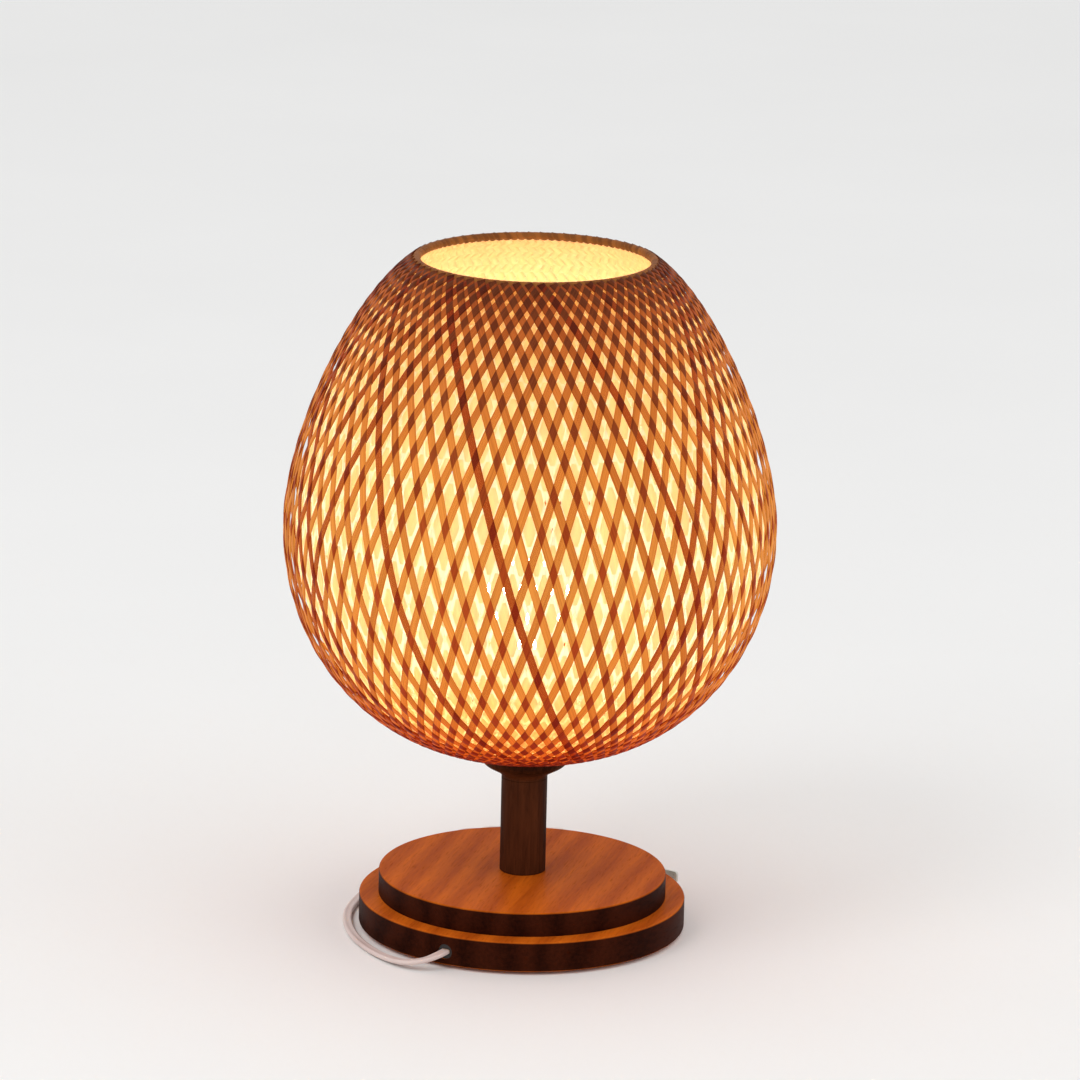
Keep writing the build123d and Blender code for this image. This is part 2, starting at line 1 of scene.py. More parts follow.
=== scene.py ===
import bpy
import numpy as np
from math import cos, pi, radians, sin
from mathutils import Matrix, Vector


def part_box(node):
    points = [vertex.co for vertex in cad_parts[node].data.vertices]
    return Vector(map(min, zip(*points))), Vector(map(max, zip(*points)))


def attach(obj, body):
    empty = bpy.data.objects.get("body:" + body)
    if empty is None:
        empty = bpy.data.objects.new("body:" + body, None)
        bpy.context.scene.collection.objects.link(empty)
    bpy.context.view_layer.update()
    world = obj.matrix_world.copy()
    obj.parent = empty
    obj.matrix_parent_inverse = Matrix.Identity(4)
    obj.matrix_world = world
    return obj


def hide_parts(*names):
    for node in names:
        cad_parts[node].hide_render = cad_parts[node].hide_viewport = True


# A lit table lamp: two layers of woven bamboo, a turned wooden stem and a stepped round base.
# Metres throughout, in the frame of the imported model: +Z is up, the lamp faces -Y.

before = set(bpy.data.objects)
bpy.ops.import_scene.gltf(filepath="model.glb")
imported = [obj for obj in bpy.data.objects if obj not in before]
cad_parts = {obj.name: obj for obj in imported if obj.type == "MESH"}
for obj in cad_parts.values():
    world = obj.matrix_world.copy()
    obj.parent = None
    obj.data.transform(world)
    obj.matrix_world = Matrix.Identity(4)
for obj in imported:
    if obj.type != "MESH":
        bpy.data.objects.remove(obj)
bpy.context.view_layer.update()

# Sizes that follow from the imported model
outer_low, outer_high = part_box("shade_outer_weave")
inner_low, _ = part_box("shade_inner_weave")
rim_low, rim_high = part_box("shade_rim")
globe_low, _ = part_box("bulb_globe")
hank_low, hank_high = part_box("cord_hank")
foot_z = outer_low.z
crest_z = rim_high.z
belly_radius = outer_high.x
rim_roll = (rim_high.z - rim_low.z) / 2
rim_circle = rim_high.x - rim_roll

# The shade's side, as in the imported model
belly_z = foot_z + 0.1173
seat_radius = 0.021
foot_reach = 0.052
belly_drop = 0.0715
belly_rise = 0.044
shoulder_reach = 0.036
shoulder_angle = radians(34)
mouth_radius = rim_circle - rim_roll

# Outer strips
outer_strips = 64
outer_width = 0.0040
outer_thickness = 0.00045
outer_middle = 0.0006      # from the shade's outer face to the middle of the strips
outer_lean = 0.0365        # a strip's way keeps this distance from the axis
foot_lean = 0.0220         # and this one close to the foot
open_radius = 0.085        # where the lean has grown to its full size
outer_play = 0.00025       # how far a strip moves out and in over its crossings

# Lining strips
lining_strips = 96
lining_cover = 0.80       # the share of each row of strips that is bamboo, up to the belly
lining_cover_top = 0.95   # and near the mouth, where they crowd together
lining_crowds = 0.040     # below the rim's crest
lining_thickness = 0.00035
lining_inset = 0.0069
lining_lean = 0.0300
lining_play = 0.00020

# Flat twin flex
flex_width = 0.005
flex_height = 0.0025
flex_on_edge = radians(90) # the tilt of the flex in the hank


# ---------------------------------------------------------------- shader writing

class Value:
    """A node's output, so that shader sums read as sums: each operator adds its Math node."""

    def __init__(self, finish, socket):
        self.finish = finish
        self.socket = socket

    def maths(self, operation, *values):
        return self.finish.node("ShaderNodeMath", {"operation": operation}, values)

    def __add__(self, other):
        return self.maths("ADD", self, other)

    def __sub__(self, other):
        return self.maths("SUBTRACT", self, other)

    def __rsub__(self, other):
        return self.maths("SUBTRACT", other, self)

    def __mul__(self, other):
        return self.maths("MULTIPLY", self, other)

    def __truediv__(self, other):
        return self.maths("DIVIDE", self, other)

    def __pow__(self, other):
        return self.maths("POWER", self, other)

    def __abs__(self):
        return self.maths("ABSOLUTE", self)

    __radd__ = __add__
    __rmul__ = __mul__


class Finish:
    """A material under way. Every node comes from node(), and leave() joins the last one to the output."""

    def __init__(self, name):
        self.material = bpy.data.materials.new(name)
        self.material.use_nodes = True
        self.tree = self.material.node_tree
        self.tree.nodes.clear()

    def node(self, kind, settings=None, sockets=(), output=0):
        """A node of that type: its settings first, then the values or links of its sockets."""
        made = self.tree.nodes.new(kind)
        for name, value in (settings or {}).items():
            if name == "stops":
                self.lay_stops(made.color_ramp, value)
            else:
                setattr(made, name, value)
        pairs = sockets.items() if isinstance(sockets, dict) else enumerate(sockets)
        for key, value in pairs:
            if isinstance(value, Value):
                self.tree.links.new(value.socket, made.inputs[key])
            else:
                made.inputs[key].default_value = value
        return Value(self, made.outputs[output])

    def lay_stops(self, band, stops):
        while len(band.elements) < len(stops):
            band.elements.new(0.5)
        for element, (place, colour) in zip(band.elements, stops):
            element.position = place
            element.color = colour

    def ramp(self, value, *stops):
        return self.node("ShaderNodeValToRGB", {"stops": stops}, [value])

    def blend(self, first, second, share, how="MIX"):
        settings = {"data_type": "RGBA", "blend_type": how}
        return self.node("ShaderNodeMix", settings, {0: share, 6: first, 7: second}, output=2)

    def dim(self, colour, level):
        """The colour times a number."""
        return self.node("ShaderNodeVectorMath", {"operation": "SCALE"}, {0: colour, 3: level})

    def place(self):
        return self.node("ShaderNodeTexCoord", output=3)

    def parts(self, vector):
        split = self.tree.nodes.new("ShaderNodeSeparateXYZ")
        self.tree.links.new(vector.socket, split.inputs[0])
        return [Value(self, out) for out in split.outputs]

    def join(self, x, y, z):
        return self.node("ShaderNodeCombineXYZ", {}, [x, y, z])

    def carried(self, name):
        """The three numbers that the mesh carries under that name."""
        return self.parts(self.node("ShaderNodeAttribute", {"attribute_name": name}, output=1))

    def noise(self, vector, scale, detail=3.0, roughness=0.55):
        sockets = {"Vector": vector, "Scale": scale, "Detail": detail, "Roughness": roughness}
        return self.node("ShaderNodeTexNoise", {}, sockets)

    def bump(self, height, distance, strength=1.0):
        sockets = {"Height": height, "Distance": distance, "Strength": strength}
        return self.node("ShaderNodeBump", {}, sockets)

    def principled(self, sockets):
        return self.node("ShaderNodeBsdfPrincipled", {}, sockets)

    def leave(self, shader):
        output = self.tree.nodes.new("ShaderNodeOutputMaterial")
        self.tree.links.new(shader.socket, output.inputs["Surface"])
        return self.material


def paint(red, green, blue):
    """A display colour, 0 to 255 each, as the linear colour that a socket takes."""
    def linear(channel):
        share = channel / 255
        return share / 12.92 if share <= 0.04045 else ((share + 0.055) / 1.055) ** 2.4
    return (linear(red), linear(green), linear(blue), 1.0)


# ---------------------------------------------------------------- finishes of the shade

def behind_another(made, phase, across):
    """1 where a strip that leans the other way lies over or under this one, and 0 beside it: the mask of
    the painted shade where two strips cross.
    """
    cell_length, cell_slope, _ = made.carried("cell")
    from_crossing = phase - made.node("ShaderNodeMath", {"operation": "ROUND"}, [phase])
    aside = abs(from_crossing * cell_length - across * cell_slope)
    return made.node("ShaderNodeMapRange", {"interpolation_type": "SMOOTHSTEP"},
                     {0: aside, 1: 0.88, 2: 1.08, 3: 1.0, 4: 0.0})


def bamboo_strip(name):
    """Stained outer strip with a painted glow of the lamp's light through it: painted shade where another
    strip lies behind it, along its edges and towards the foot and the mouth.
    """
    made = Finish(name)
    phase, across, number = made.carried("run")
    two_layer_shade = behind_another(made, phase, across)
    _, _, z = made.parts(made.place())
    height = (z - foot_z) / (crest_z - foot_z)

    chance = made.node("ShaderNodeTexWhiteNoise", {"noise_dimensions": "1D"}, {"W": number + 0.37})
    fibre_place = made.join(phase * 0.55, across * 5.5, number * 3.1)
    fibre = made.noise(fibre_place, 1.0, 4.0)
    cloud = made.noise(made.join(phase * 0.35, across * 0.3, number * 7.7), 1.0, 2.0)

    # painted light: the lamp's glow through one strip, brightest near the bulb's height and darker towards
    # the foot and the mouth
    single = made.ramp(height,
                       (0.0, paint(196, 52, 10)), (0.07, paint(222, 88, 20)), (0.20, paint(232, 128, 44)),
                       (0.45, paint(233, 145, 60)), (0.70, paint(226, 132, 50)),
                       (0.86, paint(206, 110, 42)), (0.95, paint(176, 84, 31)),
                       (0.99, paint(142, 62, 22)))
    # painted shade: the glow where two strips lie one behind the other
    double = made.ramp(height,
                       (0.0, paint(104, 12, 3)), (0.07, paint(142, 22, 6)), (0.20, paint(164, 50, 11)),
                       (0.45, paint(174, 65, 15)), (0.70, paint(144, 57, 14)), (0.86, paint(116, 47, 14)),
                       (0.95, paint(100, 40, 13)), (0.99, paint(80, 32, 11)))
    glow = made.blend(single, double, two_layer_shade)
    tone = made.ramp(chance,
                     (0.0, (0.56, 0.24, 0.16, 1)), (0.18, (0.62, 0.32, 0.22, 1)),
                     (0.22, (0.80, 0.68, 0.58, 1)), (0.35, (0.92, 0.88, 0.84, 1)),
                     (0.70, (1.04, 1.04, 1.0, 1)), (1.0, (1.16, 1.24, 1.3, 1)))
    glow = made.blend(glow, tone, 1.0, "MULTIPLY")
    streak = made.ramp(fibre, (0.25, (0.74, 0.66, 0.58, 1)), (0.5, (1, 1, 1, 1)),
                       (0.8, (1.14, 1.20, 1.26, 1)))
    glow = made.blend(glow, streak, 1.0, "MULTIPLY")
    # painted shade along the strip's edges
    edge = 1.0 - abs(across) ** 4.0 * 0.25
    glow = made.dim(glow, edge * (0.84 + cloud * 0.32) * 0.92)

    skin = made.ramp(fibre, (0.3, (0.024, 0.006, 0.002, 1)), (0.7, (0.060, 0.018, 0.005, 1)))
    skin = made.blend(skin, tone, 1.0, "MULTIPLY")
    shader = made.principled({
        "Base Color": skin, "Roughness": 0.48 + fibre * 0.2, "Specular IOR Level": 0.08,
        "Emission Color": glow, "Emission Strength": 1.0,
        "Normal": made.bump(fibre, 0.00012)})
    return made.leave(shader)


def bamboo_lining(name):
    """Pale, thin lining strip: a painted glow of the lamp's light, palest near the bulb's height, with
    painted shade where two cross and along its edges, mixed half and half with a translucent shader that
    lets real light through.
    """
    made = Finish(name)
    phase, across, number = made.carried("run")
    two_layer_shade = behind_another(made, phase, across)
    _, _, z = made.parts(made.place())
    height = (z - foot_z) / (crest_z - foot_z)
    fibre = made.noise(made.join(phase * 0.7, across * 9.0, number * 2.3), 1.0, 4.0)
    chance = made.node("ShaderNodeTexWhiteNoise", {"noise_dimensions": "1D"}, {"W": number + 0.81})
    blotch = made.noise(made.place(), 60.0, 2.0)
    # painted light: the lamp's glow in the lining, palest around the bulb's height and more orange towards
    # the foot and the mouth
    single = made.ramp(height,
                       (0.0, paint(236, 96, 22)), (0.06, paint(252, 156, 56)), (0.15, paint(255, 222, 134)),
                       (0.30, paint(255, 252, 230)), (0.50, paint(255, 250, 224)),
                       (0.72, paint(255, 244, 206)), (0.88, paint(254, 230, 172)),
                       (0.98, paint(236, 164, 78)))
    # painted shade where two lining strips cross
    double = made.ramp(height,
                       (0.0, paint(222, 76, 14)), (0.06, paint(244, 128, 38)), (0.15, paint(252, 192, 94)),
                       (0.30, paint(250, 208, 134)), (0.50, paint(250, 208, 134)),
                       (0.72, paint(250, 210, 136)), (0.88, paint(246, 198, 118)),
                       (0.98, paint(218, 136, 56)))
    glow = made.blend(single, double, two_layer_shade)
    tone = 0.80 + chance * 0.16 + fibre * 0.14 + blotch * 0.10
    # painted shade along the strip's edges
    edge = 1.0 - abs(across) ** 8.0 * 0.30
    skin = made.ramp(fibre, (0.2, (0.60, 0.51, 0.38, 1)), (0.8, (0.78, 0.69, 0.53, 1)))
    solid = made.principled({
        "Base Color": skin, "Roughness": 0.6, "Specular IOR Level": 0.15,
        "Emission Color": made.dim(glow, tone * edge * 0.80), "Emission Strength": 1.0,
        "Normal": made.bump(fibre, 0.0001)})
    through = made.node("ShaderNodeBsdfTranslucent", {}, {"Color": (0.95, 0.86, 0.66, 1)})
    both = made.node("ShaderNodeMixShader", {}, [0.5, solid, through])
    return made.leave(both)


def bamboo_rim(name):
    """The rolled binding round the mouth: stained strip wound close, a little worn on its turns, with a
    painted orange glow of the lamp's light.
    """
    made = Finish(name)
    along, across, number = made.carried("run")
    fibre = made.noise(made.join(along * 60.0, across * 9.0, number), 1.0, 4.0)
    patch = made.noise(made.place(), 45.0, 3.0)
    chance = made.node("ShaderNodeTexWhiteNoise", {"noise_dimensions": "1D"}, {"W": number + 0.53})
    skin = made.ramp(fibre * 0.5 + patch * 0.3 + chance * 0.2,
                     (0.25, (0.030, 0.008, 0.002, 1)), (0.55, (0.070, 0.021, 0.005, 1)),
                     (0.8, (0.12, 0.038, 0.010, 1)))
    # painted glow of the lamp's light on the binding, which is no lamp of its own
    painted_rim_glow = made.blend((0.13, 0.040, 0.008, 1), (0.30, 0.100, 0.018, 1), chance)
    shader = made.principled({
        "Base Color": skin, "Roughness": 0.40 + fibre * 0.25, "Specular IOR Level": 0.1,
        "Emission Color": painted_rim_glow, "Emission Strength": 0.8, "Normal": made.bump(fibre, 0.0002)})
    return made.leave(shader)


# ---------------------------------------------------------------- finishes of the wood and the rest

def turned_wood(name, grain, light, dark, shaded_side_light, shaded_side_dark):
    """Oiled wood. grain is the way the fibres run. Flat faces take the lighter colours as painted light
    from the lamp above, and side faces the darker colours as painted shade.
    """
    made = Finish(name)
    place = made.place()
    turn = Vector(grain).to_track_quat("X", "Z").inverted().to_euler()
    laid = made.node("ShaderNodeVectorRotate", {"rotation_type": "EULER_XYZ"},
                     {"Vector": place, "Rotation": tuple(turn)})
    along, across, deep = made.parts(laid)
    long_place = made.join(along * 5.0, across * 60.0, deep * 60.0)
    ring_place = made.join(along * 2.2, across * 13.0, deep * 13.0)
    rings = made.node("ShaderNodeTexWave", {"wave_type": "BANDS", "bands_direction": "Y"},
                      {"Vector": ring_place, "Scale": 1.3, "Distortion": 5.5, "Detail": 2.0,
                       "Detail Scale": 1.4}, output=1)
    fibre = made.noise(long_place, 9.0, 5.0, 0.65)
    pores = made.noise(made.join(along * 110.0, across * 1500.0, deep * 1500.0), 1.0, 2.0)
    pore = made.node("ShaderNodeMapRange", {}, {0: pores, 1: 0.30, 2: 0.42, 3: 1.0, 4: 0.0})
    figure = rings * 0.30 + fibre * 0.70
    # painted light: the lighter colours of the flat faces
    flat = made.ramp(figure, (0.22, dark), (0.5, halfway(dark, light)), (0.80, light))
    # painted shade: the darker colours of the side faces
    shaded_side_colour = made.ramp(figure, (0.25, shaded_side_dark), (0.5, halfway(shaded_side_dark, shaded_side_light)),
                        (0.78, shaded_side_light))
    _, _, up = made.parts(made.node("ShaderNodeNewGeometry", output=1))
    # how far a face lies flat: the share of painted light it takes
    painted_top_light_share = made.node("ShaderNodeMapRange", {}, {0: abs(up), 1: 0.25, 2: 0.9, 3: 0.0, 4: 1.0})
    colour = made.blend(shaded_side_colour, flat, painted_top_light_share)
    colour = made.dim(colour, 1.0 - pore * 0.22)
    shader = made.principled({
        "Base Color": colour, "Roughness": 0.38 + fibre * 0.14 + pore * 0.2, "Specular IOR Level": 0.02,
        "Normal": made.bump(fibre * 0.6 - pore * 0.4, 0.00010)})
    return made.leave(shader)


def halfway(first, second):
    return tuple((a + b) / 2 for a, b in zip(first, second))


def plain_finish(name, colour, roughness, metallic=0.0, mottle=0.12, grain=350.0, depth=0.00004,
                 specular=0.5):
    """A moulded, cast or plated surface: faint mottling, uneven gloss and a fine skin."""
    made = Finish(name)
    place = made.place()
    cloud = made.noise(place, grain / 8, 2.0)
    skin = made.noise(place, grain * 4, 3.0)
    worn = tuple(channel * (1 - mottle) for channel in colour[:3]) + (1.0,)
    clear = tuple(min(1.0, channel * (1 + mottle)) for channel in colour[:3]) + (1.0,)
    shader = made.principled({
        "Base Color": made.ramp(cloud, (0.3, worn), (0.7, clear)),
        "Roughness": roughness + cloud * 0.08 + skin * 0.06, "Metallic": metallic,
        "Specular IOR Level": specular, "Normal": made.bump(skin, depth)})
    return made.leave(shader)


def flex_pvc(name):
    """White PVC with a painted pinkish cast of the lamp's light, faintly marked where it was rolled."""
    made = Finish(name)
    place = made.place()
    cloud = made.noise(place, 40.0, 2.0)
    skin = made.noise(place, 1400.0, 2.0)
    shader = made.principled({
        # the pinkish cast is painted light
        "Base Color": made.ramp(cloud, (0.3, paint(206, 184, 178)), (0.7, paint(222, 204, 198))),
        "Roughness": 0.38 + skin * 0.14, "Normal": made.bump(skin, 0.00003)})
    return made.leave(shader)


def felt(name):
    made = Finish(name)
    place = made.place()
    hair = made.noise(place, 1600.0, 4.0, 0.7)
    cloud = made.noise(place, 120.0, 2.0)
    shader = made.principled({
        "Base Color": made.ramp(hair * 0.7 + cloud * 0.3, (0.3, (0.010, 0.009, 0.008, 1)),
                                (0.75, (0.040, 0.036, 0.032, 1))),
        "Roughness": 0.95, "Specular IOR Level": 0.1, "Normal": made.bump(hair, 0.0004)})
    return made.leave(shader)


def opal_glass(name):
    """Opal glass with the lamp on: white all over, a little dimmer near its neck."""
    made = Finish(name)
    _, _, z = made.parts(made.place())
    neck_top = globe_low.z + 0.022
    lit = made.node("ShaderNodeMapRange", {}, {0: z, 1: globe_low.z, 2: neck_top, 3: 0.35, 4: 1.0})
    cloud = made.noise(made.place(), 80.0, 2.0)
    glow = made.dim((1.0, 0.84, 0.62), lit * (0.95 + cloud * 0.1))
    shader = made.principled({
        "Base Color": (0.88, 0.87, 0.84, 1), "Roughness": 0.12 + cloud * 0.05,
        "Emission Color": glow, "Emission Strength": 55.0})
    return made.leave(shader)


# ---------------------------------------------------------------- mesh making

def mesh_piece(name, points, faces, material, smooth=True):
    mesh = bpy.data.meshes.new(name)
    mesh.from_pydata(points, [], faces)
    mesh.update()
    piece = bpy.data.objects.new(name, mesh)
    bpy.context.scene.collection.objects.link(piece)
    mesh.materials.append(material)
    if smooth:
        mesh.polygons.foreach_set("use_smooth", [True] * len(mesh.polygons))
    return piece


def carry(mesh, name, rows):
    """Give every point of the mesh three numbers that its finish can read."""
    numbers = mesh.attributes.new(name, "FLOAT_VECTOR", "POINT")
    numbers.data.foreach_set("vector", np.asarray(rows, dtype=np.float32).ravel())


def curve_points(ends, count):
    """Points along a curve of four control points."""
    t = np.linspace(0, 1, count)[:, None]
    a, b, c, d = [np.array(point) for point in ends]
    u = 1 - t
    return a * u ** 3 + 3 * b * u * u * t + 3 * c * u * t * t + d * t ** 3


def shade_side(inset, foot):
    """(radius, height) points from the foot to the mouth, moved inwards by inset."""
    belly = belly_radius - inset
    top_z = crest_z - rim_roll * 0.3 - inset * 0.45
    top = mouth_radius + 2 * rim_roll - inset * 0.5
    lower = [(seat_radius, foot), (seat_radius + foot_reach - inset / 2, foot),
             (belly, belly_z - belly_drop + inset / 2), (belly, belly_z)]
    upper = [(belly, belly_z), (belly, belly_z + belly_rise),
             (top + shoulder_reach * cos(shoulder_angle), top_z - shoulder_reach * sin(shoulder_angle)),
             (top, top_z)]
    return np.vstack([curve_points(lower, 1200), curve_points(upper, 1200)[1:]])


def strip_course(inset, foot, lean, strips, per_crossing):
    """How a strip climbs the shade: stations that are evenly spaced in its turn about the axis."""
    most_slope = 0.965
    side = shade_side(inset, foot)
    middle = (side[1:, 0] + side[:-1, 0]) / 2
    steps = np.hypot(*np.diff(side, axis=0).T)
    grown = np.clip((middle - seat_radius) / (open_radius - seat_radius), 0, 1)
    leans = foot_lean + (lean - foot_lean) * (3 * grown ** 2 - 2 * grown ** 3)
    slope = np.minimum(leans / middle, most_slope)
    turn = np.concatenate([[0], np.cumsum(slope / np.sqrt(1 - slope ** 2) * steps / middle)])
    crossings = strips * turn[-1] / pi
    even = np.linspace(0, turn[-1], int(crossings * per_crossing))
    radius = np.interp(even, turn, side[:, 0])
    height = np.interp(even, turn, side[:, 1])
    sine = np.interp(even, turn[1:], slope)
    run = np.gradient(radius)
    rise = np.gradient(height)
    size = np.hypot(run, rise)
    return {"turn": even, "radius": radius, "height": height, "sine": sine,
            "run": run / size, "rise": rise / size}


def woven_strips(name, course, hand, strips, width, thickness, play, material):
    """Every strip that leans the same way, passing over and under the strips that lean the other way.

    width gives a strip's width at each station, and play how far it moves out and in."""
    turn, radius, height, sine = (course[key][None, :] for key in ("turn", "radius", "height", "sine"))
    run, rise = (course[key][None, :] for key in ("run", "rise"))
    cosine = np.sqrt(1 - sine ** 2)
    start = 2 * pi * np.arange(strips)[:, None] / strips
    angle = start + hand * turn
    phase = strips * turn / pi
    out = hand * play * np.cos(pi * phase)
    around = np.stack([-np.sin(angle), np.cos(angle), np.zeros_like(angle)], -1)
    away = np.stack([np.cos(angle), np.sin(angle), np.zeros_like(angle)], -1)
    upward = np.array([0, 0, 1.0])
    climb = away * run[..., None] + upward * rise[..., None]
    normal = away * rise[..., None] - upward * run[..., None]
    sideways = around * cosine[..., None] - hand * climb * sine[..., None]
    centre = away * radius[..., None] + upward * height[..., None] + normal * out[..., None]

    section = [(-1.0, -0.5), (1.0, -0.5), (0.94, 0.34), (0.0, 0.5), (-0.94, 0.34)]
    half = (width / 2)[None, :, None]
    rows = [centre + sideways * half * x + normal * thickness * y for x, y in section]
    points = np.stack(rows, 2)
    stations = turn.shape[1]
    corners = len(section)

    index = np.arange(strips * stations * corners).reshape(strips, stations, corners)
    here, ahead = index[:, :-1], index[:, 1:]
    faces = np.stack([here, np.roll(here, -1, 2), np.roll(ahead, -1, 2), ahead], -1).reshape(-1, 4)
    if hand > 0:
        faces = faces[:, ::-1]
    caps = [list(ring) for i in range(strips) for ring in (index[i, 0], index[i, -1][::-1])]
    piece = mesh_piece(name, points.reshape(-1, 3), faces.tolist() + caps, material)

    across = np.array([x for x, _ in section])
    shape = (strips, stations, corners)
    number = np.broadcast_to(np.arange(strips)[:, None, None] + 200 * (hand > 0), shape)
    facts = [np.broadcast_to(phase[..., None], shape), np.broadcast_to(across, shape), number]
    carry(piece.data, "run", np.stack(facts, -1))
    spacing = pi / strips * radius / np.maximum(sine, 0.05)
    cell_length = spacing * 2 * sine * cosine / (width / 2)
    cell_slope = -hand * (1 - 2 * sine ** 2)
    cells = [np.broadcast_to(cell_length[..., None], shape), np.broadcast_to(cell_slope[..., None], shape),
             np.zeros(shape)]
    carry(piece.data, "cell", np.stack(cells, -1))
    unroll(piece.data, strips, stations, corners, hand > 0)
    return piece


def unroll(mesh, strips, stations, corners, turned):
    """Texture places: one row of the square for each strip, and a small wheel for each of its two ends."""
    share = np.linspace(0.002, 0.998, stations)
    margin = 0.05
    band = (1 - 2 * margin) / corners
    i, k, c = np.meshgrid(np.arange(strips), np.arange(stations - 1), np.arange(corners), indexing="ij")
    low = (i + margin + c * band) / strips
    high = low + band / strips
    quads = np.stack([np.stack([share[k], low], -1), np.stack([share[k], high], -1),
                      np.stack([share[k + 1], high], -1), np.stack([share[k + 1], low], -1)], 3)
    if turned:
        quads = quads[..., ::-1, :]
    quads = quads.reshape(-1, 2)
    near_wheel, far_wheel = 0.0010, 0.9990
    wheel_width, wheel_height = 0.0006, 0.3
    ends = np.zeros((len(mesh.loops) - len(quads), 2))
    for n in range(2 * strips):
        strip, far = divmod(n, 2)
        for c in range(corners):
            angle = 2 * pi * c / corners
            ends[n * corners + c] = ((far_wheel if far else near_wheel) + wheel_width * cos(angle),
                                     (strip + 0.5 + wheel_height * sin(angle)) / strips)
    layer = mesh.uv_layers.new(name="OFBake")
    layer.data.foreach_set("uv", np.vstack([quads, ends]).ravel())


def outer_weave():
    course = strip_course(outer_middle, foot_z + outer_middle, outer_lean, outer_strips, 5)
    apart = 2 * pi * course["radius"] * np.sqrt(1 - course["sine"] ** 2) / outer_strips
    width = np.minimum(outer_width, 0.95 * apart)
    finish = bamboo_strip("bamboo_strip")
    for hand, side in ((1, "right"), (-1, "left")):
        piece = woven_strips(f"outer_strips_{side}", course, hand, outer_strips, width, outer_thickness,
                             outer_play, finish)
        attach(piece, "lamp")
        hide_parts("shade_outer_weave")


def lining():
    foot = inner_low.z + 0.0005
    course = strip_course(lining_inset, foot, lining_lean, lining_strips, 4)
    apart = 2 * pi * course["radius"] * np.sqrt(1 - course["sine"] ** 2) / lining_strips
    crowded_z = crest_z - lining_crowds
    cover = np.interp(course["height"], [belly_z, crowded_z], [lining_cover, lining_cover_top])
    finish = bamboo_lining("bamboo_lining")
    for hand, side in ((1, "right"), (-1, "left")):
        piece = woven_strips(f"lining_strips_{side}", course, hand, lining_strips, cover * apart,
                             lining_thickness, lining_play, finish)
        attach(piece, "lamp")
        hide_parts("shade_inner_weave")


def rim_binding():
    """A strip wound slantwise round the mouth: each turn stands proud in its middle."""
    turns = 120
    per_turn = 8
    around_count = turns * per_turn
    section_count = 16
    slant = 1.6            # how many turns a strip moves on as it goes once round the roll
    lean_share = 0.925     # the roll's radius at the edges of a turn, as a share of rim_roll
    proud_share = 0.07     # and how much more in its middle
    points, facts = [], []
    for i in range(around_count):
        angle = 2 * pi * i / around_count
        for j in range(section_count):
            roll = 2 * pi * j / section_count
            wound = i / per_turn + slant * j / section_count
            across = 2 * (wound % 1) - 1
            crown = 1 - abs(across) ** 3
            thick = rim_roll * (lean_share + proud_share * crown)
            radius = rim_circle + thick * cos(roll)
            z = crest_z - rim_roll + thick * sin(roll)
            points.append((radius * cos(angle), radius * sin(angle), z))
            facts.append((j / section_count, across, float(int(wound) % turns)))
    faces = []
    for i in range(around_count):
        here = i * section_count
        ahead = (i + 1) % around_count * section_count
        for j in range(section_count):
            k = (j + 1) % section_count
            faces.append((here + j, ahead + j, ahead + k, here + k))
    piece = mesh_piece("rim_binding", points, faces, bamboo_rim("bamboo_rim"))
    carry(piece.data, "run", facts)
    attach(piece, "lamp")
    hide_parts("shade_rim")


def seat_ring(finish):
    """The thin turned plate under the shade that the ends of the strips are glued to."""
    outer = 0.0235
    inner = 0.0054
    corner = 0.0004
    low = foot_z + 0.0002
    high = foot_z + outer_middle * 1.9
    outline = [(inner, low), (outer - corner, low), (outer, low + corner), (outer, high - 0.0003),
               (outer - corner, high), (inner, high)]
    count = 128
    points = [(r * cos(2 * pi * i / count), r * sin(2 * pi * i / count), z)
              for i in range(count) for r, z in outline]
    size = len(outline)
    faces = []
    for i in range(count):
        here = i * size
        ahead = (i + 1) % count * size
        for j in range(size):
            k = (j + 1) % size
            faces.append((here + j, ahead + j, ahead + k, here + k))
    piece = mesh_piece("shade_seat_ring", points, faces, finish, smooth=False)
    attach(piece, "lamp")


# ---------------------------------------------------------------- flex

# The routes of the free flex, in millimetres, each point lying as a limp flat flex does
route_to_switch = [(-37.85, -74.28, 8.5), (-40.86, -80.19, 8.5), (-50.0, -81.0, 5.0), (-62.0, -73.5, 2.2),
                   (-76.0, -53.5, 1.3), (-87.0, -26.0, 1.3), (-90.5, 7.0, 1.3), (-83.5, 38.5, 1.3),
                   (-71.0, 68.5, 1.3), (-64.5, 95.0, 1.3), (-53.0, 115.5, 1.3), (-38.0, 123.5, 2.6),
                   (-23.0, 124.5, 5.0)]
route_to_hank = [(23.0, 124.5, 5.0), (36.0, 124.4, 3.2), (45.4, 115.1, 2.0), (45.2, 101.9, 2.6),
                 (36.0, 92.6, 3.1)]
route_to_plug = [(37.0, 99.5, 12.8), (38.0, 92.0, 8.6), (43.0, 85.6, 5.5)]


